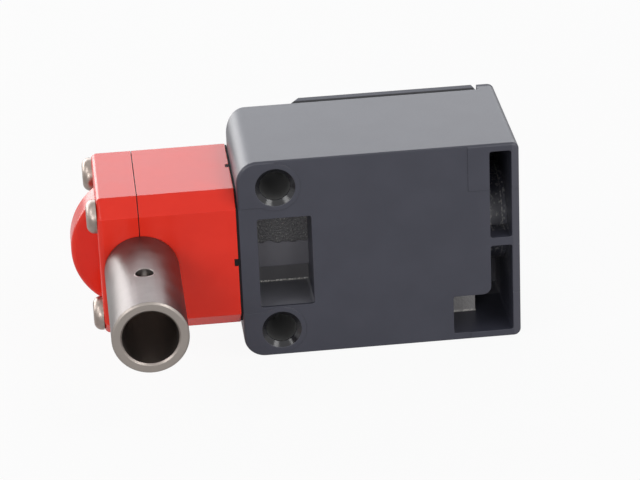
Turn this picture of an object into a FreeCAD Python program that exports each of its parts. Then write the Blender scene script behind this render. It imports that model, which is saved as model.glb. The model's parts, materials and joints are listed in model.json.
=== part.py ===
import FreeCAD, Part
import math
import os
import re

import Sketcher

# Safety hinge switch with a hollow shaft, lying on its side.
# X runs from the hinge axis to the conduit end, Y from the mounting plane to the front cover, Z upwards.
# The origin is on the hinge axis, in the mounting plane. All sizes are millimetres.

SIZES = {
    # Housing
    "axis_to_body": 13.8,
    "body_length": 39.7,
    "body_width": 30.0,
    "body_depth": 20.6,
    "body_wall": 1.8,
    "body_round": 3.0,
    "end_round": 1.0,
    "end_block_length": 2.6,
    "end_block_rise": 2.2,
    "end_block_round": 0.5,
    "rear_round": 0.4,
    # Rear pads and mounting holes
    "pad_step": 0.12,
    "pad_radius": 3.5,
    "pad_from_middle": 8.1,
    "end_pad_length": 7.25,
    "mount_inset": 5.4,
    "mount_edge": 4.0,
    "mount_hole_radius": 2.15,
    "mount_countersink": 0.7,
    # Rear pockets
    "guide_pocket_inset": 2.6,
    "guide_pocket_length": 7.65,
    "guide_pocket_above": 6.3,
    "guide_pocket_below": 7.35,
    "guide_pocket_depth": 7.2,
    "guide_trench_width": 3.0,
    "guide_trench_depth": 8.6,
    "end_pocket_wall": 1.1,
    "end_pocket_length": 3.1,
    "end_pocket_depth": 16.0,
    "pocket_rib": 1.25,
    "corner_pocket_length": 8.55,
    "corner_pocket_width": 5.8,
    "corner_pocket_depth": 7.1,
    "corner_ledge_length": 4.1,
    "pocket_round": 0.35,
    "tongue_round": 1.2,
    # Contact chamber and conduit entry
    "chamber_wall": 1.25,
    "conduit_wall": 10.7,
    "conduit_height": 11.5,
    "conduit_radius": 6.0,
    "conduit_boss_wall": 1.0,
    "conduit_thread_length": 8.5,
    "conduit_throat_radius": 4.6,
    "conduit_chamfer": 0.5,
    # Front cover, its gasket and its hinge
    "cover_overlap": 1.9,
    "cover_side_inset": 0.2,
    "cover_rise": 2.9,
    "cover_skin": 1.3,
    "cover_skirt": 1.3,
    "cover_gap": 0.55,
    "cover_end_gap": 0.3,
    "cover_lip_gap": 0.15,
    "cover_bevel": 1.8,
    "cover_draft": 0.45,
    "cover_round": 0.6,
    "cover_gasket_thickness": 0.5,
    "cover_gasket_width": 1.0,
    "cover_gasket_seat": 0.1,
    "knuckle_radius": 0.9,
    "knuckle_from_middle": 8.85,
    "knuckle_width": 3.9,
    "knuckle_clearance": 0.3,
    "hinge_back": 1.9,
    "hinge_drop": 0.9,
    "hinge_pin_radius": 0.6,
    "hinge_pin_length": 0.6,
    "hinge_pin_clearance": 0.05,
    "snap_width": 6.0,
    "snap_depth": 3.1,
    "snap_thickness": 0.8,
    "snap_clearance": 0.45,
    # Red head
    "head_height": 10.5,
    "head_side": 20.8,
    "head_chamfer": 2.3,
    "head_edge_round": 0.2,
    "cap_depth": 5.8,
    "cap_round": 0.8,
    "seam_round": 0.1,
    "seam_gap": 0.04,
    "bulge_wall": 1.05,
    "bulge_width": 5.5,
    "bulge_round": 0.8,
    "head_gasket_thickness": 0.25,
    "head_gasket_inset": 0.15,
    "gasket_tab_width": 1.0,
    "gasket_tab_length": 0.5,
    "gasket_tab_depth": 1.0,
    "tab_clearance": 0.05,
    # Head screws
    "screw_edge": 2.9,
    "screw_head_radius": 2.4,
    "screw_head_height": 1.4,
    "screw_head_round": 1.1,
    "screw_shank_radius": 1.25,
    "screw_hole_clearance": 0.15,
    "screw_thread_clearance": 0.05,
    "screw_bite": 2.2,
    "screw_recess_width": 0.7,
    "screw_recess_length": 2.8,
    "screw_recess_depth": 0.9,
    # Hollow shaft, its seals, cam and key
    "tube_radius": 5.25,
    "tube_length": 21.4,
    "tube_bore_radius": 3.85,
    "tube_chamfer": 0.25,
    "tube_floor": 0.9,
    "journal_radius": 3.0,
    "journal_reach": 6.9,
    "bearing_clearance": 0.05,
    "shaft_end_clearance": 0.2,
    "cross_hole_radius": 1.25,
    "cross_hole_from_end": 9.55,
    "seal_section_radius": 0.6,
    "seal_clearance": 0.1,
    "seal_from_middle": 5.0,
    "cam_base_radius": 6.0,
    "cam_lift": 2.2,
    "cam_thickness": 3.0,
    "cam_clearance": 0.4,
    "key_width": 1.6,
    "key_height": 1.5,
    "key_depth": 0.6,
    "key_clearance": 0.05,
    # Plunger, its spring and its wiper
    "plunger_radius": 1.8,
    "plunger_clearance": 0.1,
    "cam_touch": 0.05,
    "collar_radius": 3.6,
    "collar_thickness": 1.0,
    "collar_clearance": 0.2,
    "spring_end_clearance": 0.05,
    "plunger_spring_radius": 3.1,
    "plunger_spring_wire": 0.25,
    "plunger_spring_half_turns": 5,
    "wiper_width": 0.75,
    "wiper_length": 1.1,
    # Contact block
    "block_clearance": 0.2,
    "block_seat": 0.05,
    "block_length": 12.8,
    "block_top": 15.4,
    "block_wall": 1.2,
    "block_floor": 5.0,
    "tower_width": 4.4,
    "rail_width": 0.8,
    "rail_height": 2.0,
    "barrier_width": 1.0,
    "barrier_height": 3.4,
    "carrier_gap": 0.3,
    "carrier_length": 7.6,
    "carrier_side_gap": 1.1,
    "carrier_top": 14.6,
    "carrier_clearance": 0.1,
    "carrier_pocket_depth": 1.9,
    "carrier_pocket_clearance": 0.2,
    "carrier_spring_radius": 1.5,
    "carrier_spring_wire": 0.2,
    "carrier_spring_half_turns": 5,
    "bridge_thickness": 1.0,
    "bridge_height": 3.0,
    "bridge_end_gap": 0.7,
    "bridge_clearance": 0.05,
    "nc_bridge_place": 2.0,
    "no_bridge_place": 4.0,
    "contact_touch": 0.05,
    "contact_radius": 1.0,
    "contact_height": 0.45,
    "strip_thickness": 1.0,
    "strip_width": 4.8,
    "leg_width": 3.4,
    "leg_gap": 0.2,
    "leg_bottom": 8.5,
    "strip_edge_gap": 0.4,
    # Terminal screws and clamps
    "terminal_edge": 2.0,
    "clamp_side": 4.6,
    "clamp_thickness": 1.0,
    "terminal_shank_radius": 1.6,
    "terminal_head_radius": 2.4,
    "terminal_head_height": 2.0,
    "terminal_screw_depth": 5.0,
}

# How far a cutting tool reaches past the face that it opens.
PAST = "1"

# Places that several pieces share, worked out from the sizes.
BODY_END = "(axis_to_body + body_length)"
BODY_HALF = "(body_width / 2)"
BLOCK_FACE = f"({BODY_END} - end_block_length)"
BLOCK_TOP = "(body_depth + end_block_rise)"
MOUNT_X = "(axis_to_body + mount_inset)"
MOUNT_SIDE = f"({BODY_HALF} - mount_edge)"
GUIDE_START = "(axis_to_body + guide_pocket_inset)"
GUIDE_END = f"({GUIDE_START} + guide_pocket_length)"
CHAMBER_START = f"({GUIDE_END} + chamber_wall)"
CHAMBER_END = f"({BODY_END} - conduit_wall)"
CHAMBER_HALF = f"({BODY_HALF} - body_wall)"
HINGE_X = f"({BODY_END} - hinge_back)"
HINGE_Y = f"({BLOCK_TOP} - hinge_drop)"
COVER_START = f"({CHAMBER_START} - cover_overlap)"
COVER_END = f"({BLOCK_FACE} - cover_end_gap)"
COVER_HALF = f"({BODY_HALF} - cover_side_inset)"
COVER_FRONT = "(body_depth + cover_rise)"
SKIRT_LOW = "(body_depth + cover_gap)"
HEAD_HALF = "(head_side / 2)"
SCREW_SIDE = f"({HEAD_HALF} - screw_edge)"
HEAD_END = "(axis_to_body - head_gasket_thickness)"
CAM_SPACE = "(cam_base_radius + cam_lift + cam_clearance)"
BULGE_RADIUS = f"({CAM_SPACE} + bulge_wall)"
JOURNAL_END = "(head_height + journal_reach)"
PLUNGER_TIP = "(cam_base_radius + cam_touch)"
COLLAR_START = CAM_SPACE
COLLAR_END = f"({COLLAR_START} + collar_thickness)"
SPRING_POCKET = "(collar_radius + collar_clearance)"
GUIDE_RADIUS = "(plunger_radius + plunger_clearance)"
BASE_START = f"({CHAMBER_START} + block_clearance)"
BASE_END = f"({BASE_START} + block_length)"
BASE_HALF = f"({CHAMBER_HALF} - block_clearance)"
CAVITY_HALF = f"({BASE_HALF} - tower_width)"
STRIP_START = f"({CAVITY_HALF} - leg_gap - leg_width)"
CARRIER_START = f"({BASE_START} + block_wall + carrier_gap)"
CARRIER_END = f"({CARRIER_START} + carrier_length)"
CARRIER_HALF = f"({STRIP_START} - carrier_side_gap)"
NC_FACE = f"({CARRIER_START} + nc_bridge_place)"
NO_FACE = f"({CARRIER_START} + no_bridge_place + bridge_thickness)"
STRIP_TOP = "(block_top + strip_thickness)"
STRIP_END = f"({BASE_HALF} - strip_edge_gap)"
TERMINAL_SIDE = f"({STRIP_END} - terminal_edge)"

FORWARD = FreeCAD.Rotation(FreeCAD.Vector(0, 1, 0), 90)
ACROSS = FreeCAD.Rotation(FreeCAD.Vector(1, 0, 0), -90)
UPRIGHT = FreeCAD.Rotation()
TURNS = {"x": FORWARD, "y": ACROSS, "z": UPRIGHT}

doc = FreeCAD.newDocument("hinge_switch")
sheet = doc.addObject("Spreadsheet::Sheet", "Sizes")
for row, (word, value) in enumerate(SIZES.items(), start=1):
    sheet.set(f"A{row}", word)
    sheet.set(f"B{row}", str(value))
    sheet.setAlias(f"B{row}", word)
doc.recompute()

sub_parts = []


def size(word):
    """The number that the sheet holds under this name."""
    return float(getattr(sheet, word))


def formula(text):
    """Turns the sizes named in the text into references to the sheet."""
    return re.sub(r"[a-z_]+", lambda found: "Sizes." + found[0] if found[0] in SIZES else found[0], str(text))


def number_of(text):
    """The number that a formula gives."""
    return float(sheet.evalExpression(formula(text)))


def bind(item, property_name, text):
    """Ties a property to a formula in the sizes."""
    item.setExpression(property_name, formula(text))


def keep(item, label):
    """Names a finished sub-part."""
    item.Label = label
    sub_parts.append(item)
    return item


def block(name, along_x, along_y, along_z):
    """A box between a low and a high formula on each axis."""
    box = doc.addObject("Part::Box", name)
    sides = ("Length", "Width", "Height")
    for axis, side, (low, high) in zip("xyz", sides, (along_x, along_y, along_z)):
        bind(box, "Placement.Base." + axis, low)
        bind(box, side, f"({high}) - ({low})")
    return box


def along_axis(kind, name, axis, span, centre):
    """A round solid along one axis; centre gives the place on the other two axes, in their order."""
    item = doc.addObject(kind, name)
    low, high = span
    places = dict(zip([other for other in "xyz" if other != axis], centre))
    places[axis] = low
    item.Placement = FreeCAD.Placement(FreeCAD.Vector(), TURNS[axis])
    for other in "xyz":
        bind(item, "Placement.Base." + other, places[other])
    bind(item, "Height", f"({high}) - ({low})")
    return item


def rod(name, axis, span, radius, centre):
    """A cylinder along one axis."""
    cylinder = along_axis("Part::Cylinder", name, axis, span, centre)
    bind(cylinder, "Radius", radius)
    return cylinder


def cone(name, axis, span, radii, centre):
    """A cut-off cone along one axis, with a radius for its low and its high end."""
    frustum = along_axis("Part::Cone", name, axis, span, centre)
    for side, radius in zip(("Radius1", "Radius2"), radii):
        bind(frustum, side, radius)
    return frustum


def ring(name, axis, span, outer, inner, centre):
    """A flat or long ring along one axis."""
    low, high = span
    core = rod(name + "_core", axis, (f"({low}) - {PAST}", f"({high}) + {PAST}"), inner, centre)
    return cut(name, rod(name + "_outside", axis, span, outer, centre), core)


def fuse(name, *pieces):
    """One solid from pieces that touch or overlap."""
    joined = doc.addObject("Part::MultiFuse", name)
    joined.Shapes = list(pieces)
    joined.Refine = True
    return joined


def cut(name, base, *tools):
    """The base with every tool taken out of it."""
    result = doc.addObject("Part::Cut", name)
    result.Base = base
    result.Tool = tools[0] if len(tools) == 1 else fuse(name + "_tools", *tools)
    result.Refine = True
    return result


def overlap(name, first, second):
    """What two solids share."""
    result = doc.addObject("Part::Common", name)
    result.Base = first
    result.Tool = second
    return result


def group(name, pieces):
    """Separate solids that share one node."""
    result = doc.addObject("Part::Compound", name)
    result.Links = list(pieces)
    return result


def lies_at(edge, place):
    """Whether the whole edge has the coordinates that the place gives."""
    box = edge.BoundBox
    reach = {"x": (box.XMin, box.XMax), "y": (box.YMin, box.YMax), "z": (box.ZMin, box.ZMax)}
    return all(abs(end - value) < 1e-4 for axis, value in place.items() for end in reach[axis])


def round_edges(name, base, radius, *places):
    """Rounds each edge of the base that lies at one of the places."""
    doc.recompute()
    edges = enumerate(base.Shape.Edges, start=1)
    chosen = [number for number, edge in edges if any(lies_at(edge, place) for place in places)]
    rounded = doc.addObject("Part::Fillet", name)
    rounded.Base = base
    rounded.Edges = [(number, radius, radius) for number in chosen]
    return rounded


def outline_sketch(body, name, plane, offset, corners):
    """A closed outline on a main plane of the body, each corner a pair of formulas."""
    support = [part for part in body.Origin.OriginFeatures if part.Role == plane + "_Plane"]
    sketch = body.newObject("Sketcher::SketchObject", name)
    sketch.AttachmentSupport = [(support[0], "")]
    sketch.MapMode = "FlatFace"
    bind(sketch, "AttachmentOffset.Base.z", offset)
    count = len(corners)
    turn = 2 * math.pi / count
    rough = [FreeCAD.Vector(math.cos(turn * step), math.sin(turn * step), 0) for step in range(count)]
    for step in range(count):
        sketch.addGeometry(Part.LineSegment(rough[step], rough[(step + 1) % count]), False)
    for step in range(count):
        sketch.addConstraint(Sketcher.Constraint("Coincident", step, 2, (step + 1) % count, 1))
    for step, corner in enumerate(corners):
        for kind, text, value in zip(("DistanceX", "DistanceY"), corner, rough[step]):
            number = sketch.addConstraint(Sketcher.Constraint(kind, -1, 1, step, 1, value))
            sketch.setExpression(f"Constraints[{number}]", formula(text))
    return sketch


def prism(name, plane, corners, span):
    """An outline on a main plane, padded over a span along the third axis."""
    body = doc.addObject("PartDesign::Body", name)
    low, high = span
    offset = f"-({high})" if plane == "XZ" else low
    sketch = outline_sketch(body, name + "_outline", plane, offset, corners)
    pad = body.newObject("PartDesign::Pad", name + "_pad")
    pad.Profile = sketch
    bind(pad, "Length", f"({high}) - ({low})")
    return body


def turned(name, corners):
    """A profile of radius and height in the XY plane, turned about the Y axis."""
    body = doc.addObject("PartDesign::Body", name)
    sketch = outline_sketch(body, name + "_profile", "XY", "0", corners)
    revolution = body.newObject("PartDesign::Revolution", name + "_turn")
    revolution.Profile = sketch
    revolution.ReferenceAxis = (sketch, ["V_Axis"])
    revolution.Angle = 360
    return body


def spring(name, span, height, radius, wire, half_turns):
    """A coil spring along X: half turns of wire, flat at the ends and tilted by the pitch between them."""
    low, high = span
    start = f"(({low}) + {wire})"
    step = f"((({high}) - ({low}) - 2 * {wire}) / {half_turns})"
    count = int(size(half_turns))
    tilt = math.degrees(math.atan2(number_of(f"{step} / 2"), size(radius)))
    pieces = []
    for number in range(-1, count + 1):
        flat = number in (-1, count)
        place = min(max(number + 0.5, 0), count)
        turn = FreeCAD.Rotation(FreeCAD.Vector(0, 1, 0), -90 if flat else -90 - tilt)
        if number % 2:
            turn = FreeCAD.Rotation(FreeCAD.Vector(0, 0, 1), 180).multiply(turn)
        half = doc.addObject("Part::Torus", f"{name}_half{number + 1}")
        half.Placement = FreeCAD.Placement(FreeCAD.Vector(), turn)
        half.Angle3 = 180
        bind(half, "Radius1", radius if flat else f"sqrt({radius} * {radius} + {step} * {step} / 4)")
        bind(half, "Radius2", wire)
        bind(half, "Placement.Base.x", f"{start} + {place} * {step}")
        bind(half, "Placement.Base.y", height)
        pieces.append(half)
    return fuse(name, *pieces)


def screw(name, axis, seat, length, radii, head_height, centre, outward):
    """A pan-head screw; the head stands outward (1 or -1) from its seat, with a cross recess."""
    head_radius, shank_radius = radii
    top = f"({seat}) + {outward} * {head_height}"
    tip = f"({seat}) - {outward} * ({length})"
    floor = f"({top}) - {outward} * screw_recess_depth"
    past_top = f"({top}) + {outward} * {PAST}"
    head = rod(name + "_head", axis, (seat, top)[::outward], head_radius, centre)
    domed = round_edges(name + "_dome", head, size("screw_head_round"), {axis: number_of(top)})
    shank = rod(name + "_shank", axis, (tip, seat)[::outward], shank_radius, centre)
    half_bar = "screw_recess_length / 2"
    half_slot = "screw_recess_width / 2"
    bars = []
    for number, (one, two) in enumerate(((half_bar, half_slot), (half_slot, half_bar))):
        first = (f"({centre[0]}) - {one}", f"({centre[0]}) + {one}")
        second = (f"({centre[1]}) - {two}", f"({centre[1]}) + {two}")
        depth = (floor, past_top)[::outward]
        spans = (depth, first, second) if axis == "x" else (first, depth, second)
        bars.append(block(f"{name}_bar{number}", *spans))
    return cut(name, fuse(name + "_body", domed, shank), *bars)


def head_outline(inset):
    """The head's square outline with cut corners, in Y and Z, drawn in by an inset."""
    half = f"({HEAD_HALF} - {inset})"
    short = f"({half} - head_chamfer)"
    low = f"head_height - {half}"
    high = f"head_height + {half}"
    low_cut = f"head_height - {short}"
    high_cut = f"head_height + {short}"
    return [
        (low, f"-{short}"), (low_cut, f"-{half}"), (high_cut, f"-{half}"), (high, f"-{short}"),
        (high, short), (high_cut, half), (low_cut, half), (low, short),
    ]


def head_corners():
    """The eight long edges of the head, as places."""
    return [{"y": number_of(y), "z": number_of(z)} for y, z in head_outline("0")]


def screw_centres():
    """The four head screws, as pairs of Y and Z."""
    return [(f"head_height {up} {SCREW_SIDE}", f"{side}{SCREW_SIDE}") for up in "-+" for side in ("-", "")]


def mounting_sides():
    """The two mounting holes' places across the body."""
    return [("lower", f"-{MOUNT_SIDE}"), ("upper", MOUNT_SIDE)]


def rear_relief():
    """The thin slab that leaves four corner pads standing on the rear face."""
    slab = block("relief_slab", (f"axis_to_body - {PAST}", f"{BODY_END} + {PAST}"),
                 (f"-{PAST}", "pad_step"), (f"-{BODY_HALF} - {PAST}", f"{BODY_HALF} + {PAST}"))
    spare = (f"-2 * {PAST}", f"pad_step + {PAST}")
    pads = []
    for side, middle in mounting_sides():
        reach = ("pad_from_middle", f"{BODY_HALF} + 2 * {PAST}")
        if side == "lower":
            reach = tuple(f"-({end})" for end in reversed(reach))
        pads.append(rod(f"{side}_pad_disc", "y", spare, "pad_radius", (MOUNT_X, middle)))
        pads.append(block(f"{side}_pad_corner", (f"axis_to_body - 2 * {PAST}", MOUNT_X), spare, reach))
        pads.append(block(f"{side}_end_pad", (f"{BODY_END} - end_pad_length", f"{BODY_END} + 2 * {PAST}"),
                          spare, reach))
    return cut("rear_relief", slab, *pads)


def upright_corners(along, across):
    """The places of the edges along Y that stand on each pair of an X and a Z."""
    return [{"x": number_of(x), "z": number_of(z)} for x in along for z in across]


def rear_pockets():
    """The moulded pockets of the rear face: one under the plunger guide, three round the conduit boss."""
    open_rear = f"-{PAST}"
    guide_span = (GUIDE_START, GUIDE_END)
    shelf = block("guide_shelf", guide_span, (open_rear, "guide_pocket_depth"),
                  ("-guide_pocket_below", "guide_pocket_above"))
    trench = block("guide_trench", guide_span, (open_rear, "guide_trench_depth"),
                   ("-guide_pocket_below", "-guide_pocket_below + guide_trench_width"))
    guide = round_edges("guide_pocket", fuse("guide_pocket_space", shelf, trench), size("pocket_round"),
                        *upright_corners(guide_span, ("-guide_pocket_below", "guide_pocket_above")))
    far = f"({BODY_END} - end_pocket_wall)"
    side = f"({BODY_HALF} - end_pocket_wall)"
    end_span = (f"{far} - end_pocket_length", far)
    depth = (open_rear, "end_pocket_depth")
    upper = block("upper_end_pocket", end_span, depth, ("pocket_rib / 2", side))
    lower = block("lower_end_pocket", end_span, depth, (f"-{side}", "-pocket_rib / 2"))
    corner_start = f"({far} - corner_pocket_length)"
    corner_side = (f"-{side}", f"-{side} + corner_pocket_width")
    ledge = block("corner_ledge_pocket", (corner_start, f"{corner_start} + corner_ledge_length + {PAST}"),
                  (open_rear, "corner_pocket_depth"), corner_side)
    deep = block("corner_pocket", (f"{corner_start} + corner_ledge_length", far), depth, corner_side)
    boss = rod("conduit_boss", "x", (CHAMBER_END, BODY_END), "conduit_radius + conduit_boss_wall",
               ("conduit_height", "0"))
    corners = upright_corners(end_span, ("-pocket_rib / 2", "pocket_rib / 2", side))
    corners += upright_corners((corner_start, far), corner_side)
    soft = round_edges("end_pocket_corners", fuse("end_pocket_space", upper, lower, ledge, deep),
                       size("pocket_round"), *corners)
    tongue = upright_corners(end_span[:1], corner_side[1:])
    around = cut("end_pockets", round_edges("end_pocket_tongue", soft, size("tongue_round"), *tongue), boss)
    return [guide, around]


def housing_holes():
    """Mounting holes, contact chamber, conduit entry, plunger guide and screw holes."""
    tools = []
    for side, middle in mounting_sides():
        centre = (MOUNT_X, middle)
        tools.append(rod(f"{side}_mount_hole", "y", (f"-{PAST}", f"body_depth + {PAST}"),
                         "mount_hole_radius", centre))
        tools.append(cone(f"{side}_countersink", "y", ("-mount_countersink", "mount_countersink"),
                          ("mount_hole_radius + 2 * mount_countersink", "mount_hole_radius"), centre))
    tools.append(block("contact_chamber", (CHAMBER_START, CHAMBER_END), ("body_wall", f"{BLOCK_TOP} + {PAST}"),
                       (f"-{CHAMBER_HALF}", CHAMBER_HALF)))
    conduit = ("conduit_height", "0")
    thread_start = f"{BODY_END} - conduit_thread_length"
    tools.append(rod("conduit_thread", "x", (thread_start, f"{BODY_END} + {PAST}"), "conduit_radius", conduit))
    tools.append(rod("conduit_throat", "x", (f"{CHAMBER_END} - {PAST}", f"{thread_start} + {PAST}"),
                     "conduit_throat_radius", conduit))
    tools.append(cone("conduit_mouth", "x", (f"{BODY_END} - conduit_chamfer", f"{BODY_END} + conduit_chamfer"),
                      ("conduit_radius", "conduit_radius + 2 * conduit_chamfer"), conduit))
    plunger_line = ("head_height", "0")
    tools.append(rod("plunger_guide", "x", (f"axis_to_body - {PAST}", f"{CHAMBER_START} + {PAST}"),
                     GUIDE_RADIUS, plunger_line))
    tools.append(rod("wiper_groove", "x", (f"axis_to_body - {PAST}", "axis_to_body + wiper_length"),
                     "plunger_radius + plunger_clearance + wiper_width", plunger_line))
    for number, centre in enumerate(screw_centres()):
        span = (f"axis_to_body - {PAST}", "axis_to_body + screw_bite + screw_thread_clearance")
        tools.append(rod(f"screw_pilot{number}", "x", span, "screw_shank_radius + screw_thread_clearance", centre))
    return tools


def hinge_recesses():
    """Slots and pin sockets for the cover's two hinge knuckles, in the end block."""
    tools = []
    half_slot = "(knuckle_width / 2 + knuckle_clearance)"
    reach = f"({half_slot} + hinge_pin_length)"
    back = f"{HINGE_X} + knuckle_radius + knuckle_clearance / 2"
    floor = f"{HINGE_Y} - knuckle_radius - knuckle_clearance"
    for side, middle in (("lower", "-knuckle_from_middle"), ("upper", "knuckle_from_middle")):
        tools.append(block(f"{side}_knuckle_slot", (f"{BLOCK_FACE} - {PAST}", back),
                           (floor, f"{BLOCK_TOP} + {PAST}"),
                           (f"{middle} - {half_slot}", f"{middle} + {half_slot}")))
        tools.append(rod(f"{side}_pin_socket", "z", (f"{middle} - {reach}", f"{middle} + {reach}"),
                         "hinge_pin_radius + hinge_pin_clearance", (HINGE_X, HINGE_Y)))
    return tools


def body_housing():
    """The moulded housing: side profile with the raised end block, rounded, then hollowed."""
    profile = [
        ("axis_to_body", "0"), (BODY_END, "0"), (BODY_END, BLOCK_TOP),
        (BLOCK_FACE, BLOCK_TOP), (BLOCK_FACE, "body_depth"), ("axis_to_body", "body_depth"),
    ]
    raw = prism("housing_profile", "XY", profile, (f"-{BODY_HALF}", BODY_HALF))
    start = size("axis_to_body")
    end = number_of(BODY_END)
    half = number_of(BODY_HALF)
    front = size("body_depth")
    top = number_of(BLOCK_TOP)
    face = number_of(BLOCK_FACE)
    headward = round_edges("housing_head_end", raw, size("body_round"),
                           {"x": start, "z": half}, {"x": start, "z": -half}, {"x": start, "y": front})
    ends = round_edges("housing_conduit_end", headward, size("end_round"),
                       {"x": end, "z": half}, {"x": end, "z": -half})
    crest = round_edges("housing_crest", ends, size("end_block_round"),
                        {"x": end, "y": top}, {"x": face, "y": top})
    soft = round_edges("housing_rear_edge", crest, size("rear_round"), {"y": 0})
    tools = [rear_relief(), *rear_pockets(), *housing_holes(), *hinge_recesses()]
    return keep(cut("housing", soft, *tools), "body_housing")


def cover_gasket():
    """The flat frame between the housing's front edge and the cover's skirt."""
    seat = "cover_gasket_seat"
    inner = [f"{CHAMBER_START} - {seat}", f"{CHAMBER_END} + {seat}", f"({CHAMBER_HALF} + {seat})"]
    level = ("body_depth", "body_depth + cover_gasket_thickness")
    wide = "cover_gasket_width"
    edge = f"{inner[2]} + {wide}"
    near = f"{COVER_START} + cover_skirt - cover_gap + {seat}"
    outside = block("gasket_outside", (near, f"{inner[1]} + {wide}"), level, (f"-({edge})", edge))
    opening = block("gasket_opening", (inner[0], inner[1]), (f"body_depth - {PAST}", f"{SKIRT_LOW} + {PAST}"),
                    (f"-{inner[2]}", inner[2]))
    return keep(cut("cover_seal", outside, opening), "cover_gasket")


def front_cover():
    """The hinged cover: bevelled side profile, hollow underside, snap tongue and two knuckles."""
    lip = "(body_depth + cover_lip_gap)"
    lip_end = f"({COVER_START} + cover_skirt - cover_gap)"
    crest_start = f"({COVER_START} + cover_bevel)"
    crest_end = f"({COVER_END} - cover_draft)"
    profile = [
        (COVER_START, lip), (crest_start, COVER_FRONT), (crest_end, COVER_FRONT), (COVER_END, SKIRT_LOW),
        (lip_end, SKIRT_LOW), (lip_end, lip),
    ]
    raw = prism("cover_profile", "XY", profile, (f"-{COVER_HALF}", COVER_HALF))
    start = number_of(crest_start)
    end = number_of(crest_end)
    front = number_of(COVER_FRONT)
    side = number_of(COVER_HALF)
    rounded = round_edges("cover_rounded", raw, size("cover_round"), {"x": start, "y": front},
                          {"x": end, "y": front}, {"y": front, "z": side}, {"y": front, "z": -side})
    ceiling = ("body_depth", f"{COVER_FRONT} - cover_skin")
    inner = f"({COVER_HALF} - cover_skirt)"
    recess_end = f"({CHAMBER_END} + cover_gasket_seat)"
    chamber = block("cover_hollow", (f"{CHAMBER_START} - cover_gasket_seat", recess_end), ceiling,
                    (f"-{inner}", inner))
    tail = block("cover_tail_hollow", (f"{recess_end} + 2 * cover_skirt", f"{COVER_END} - 2 * cover_draft"),
                 ceiling, (f"-{inner}", inner))
    tongue_start = f"{CHAMBER_START} + snap_clearance"
    tongue = block("snap_tongue", (tongue_start, f"{tongue_start} + snap_thickness"),
                   ("body_depth - snap_depth", f"{COVER_FRONT} - cover_skin"),
                   ("-snap_width / 2", "snap_width / 2"))
    pieces = [cut("cover_shell", rounded, chamber, tail), tongue]
    half_knuckle = "(knuckle_width / 2)"
    reach = f"({half_knuckle} + knuckle_clearance + hinge_pin_length - hinge_pin_clearance)"
    for name, middle in (("lower", "-knuckle_from_middle"), ("upper", "knuckle_from_middle")):
        span = (f"{middle} - {half_knuckle}", f"{middle} + {half_knuckle}")
        pins = (f"{middle} - {reach}", f"{middle} + {reach}")
        pieces.append(rod(f"{name}_knuckle", "z", span, "knuckle_radius", (HINGE_X, HINGE_Y)))
        pieces.append(block(f"{name}_knuckle_arm", (f"{COVER_END} - cover_draft", HINGE_X),
                            (SKIRT_LOW, f"{HINGE_Y} + knuckle_radius / 2"), span))
        pieces.append(rod(f"{name}_hinge_pin", "z", pins, "hinge_pin_radius", (HINGE_X, HINGE_Y)))
    return keep(fuse("cover", *pieces), "front_cover")


def seal_heights():
    """The two shaft seals' places along the shaft."""
    return [("rear", "(head_height - seal_from_middle)"), ("front", "(head_height + seal_from_middle)")]


def shaft_spaces():
    """Everything that the shaft, its seals and its cam need inside the two halves of the head."""
    axis = ("0", "0")
    spaces = [rod("shaft_bore", "y", (f"-{PAST}", f"{JOURNAL_END} + shaft_end_clearance"),
                  "journal_radius + bearing_clearance", axis)]
    groove = "journal_radius + bearing_clearance + 2 * seal_section_radius + 2 * seal_clearance"
    half_groove = "(seal_section_radius + seal_clearance)"
    for name, middle in seal_heights():
        spaces.append(rod(f"{name}_seal_groove", "y", (f"{middle} - {half_groove}", f"{middle} + {half_groove}"),
                          groove, axis))
    half_space = "(cam_thickness / 2 + cam_clearance)"
    spaces.append(rod("cam_space", "y", (f"head_height - {half_space}", f"head_height + {half_space}"),
                      CAM_SPACE, axis))
    for number, centre in enumerate(screw_centres()):
        spaces.append(rod(f"head_screw_hole{number}", "x", (f"-cap_depth - {PAST}", f"axis_to_body + {PAST}"),
                          "screw_shank_radius + screw_hole_clearance", centre))
    return spaces


def gasket_tabs(name, clearance):
    """Four small blocks in the middle of the head's sides, at its joint with the housing."""
    half = f"(gasket_tab_width / 2 + {clearance})"
    along = (f"{HEAD_END} - gasket_tab_length - {clearance}", HEAD_END)
    deep = f"(gasket_tab_depth + {clearance})"
    tabs = []
    for number, sign in enumerate(("-", "+")):
        face = f"(head_height {sign} {HEAD_HALF})"
        inner = f"(head_height {sign} ({HEAD_HALF} - {deep}))"
        across = (face, inner) if sign == "-" else (inner, face)
        tabs.append(block(f"{name}_front{number}", along, across, (f"-{half}", half)))
        side = (f"-{HEAD_HALF}", f"-({HEAD_HALF} - {deep})")
        if sign == "+":
            side = (f"{HEAD_HALF} - {deep}", HEAD_HALF)
        tabs.append(block(f"{name}_side{number}", along, (f"head_height - {half}", f"head_height + {half}"), side))
    return tabs


def head_base(spaces):
    """The head's inner half: square with cut corners, holding the plunger and half of the bearing."""
    raw = prism("head_base_outline", "YZ", head_outline("0"), ("seam_gap / 2", HEAD_END))
    sides = round_edges("head_base_edges", raw, size("head_edge_round"), *head_corners())
    rounded = round_edges("head_base_rounded", sides, size("seam_round"),
                          {"x": number_of("seam_gap / 2")}, {"x": number_of(HEAD_END)})
    line = ("head_height", "0")
    rod_bore = rod("plunger_bore", "x", ("cam_base_radius - cam_clearance", f"{COLLAR_START} + {PAST}"),
                   GUIDE_RADIUS, line)
    pocket = rod("spring_pocket", "x", (f"{COLLAR_START} - collar_clearance", f"{HEAD_END} + {PAST}"),
                 SPRING_POCKET, line)
    notches = gasket_tabs("notch", "tab_clearance")
    return keep(cut("head_inner", rounded, *spaces, rod_bore, pocket, *notches), "head_base")


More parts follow.
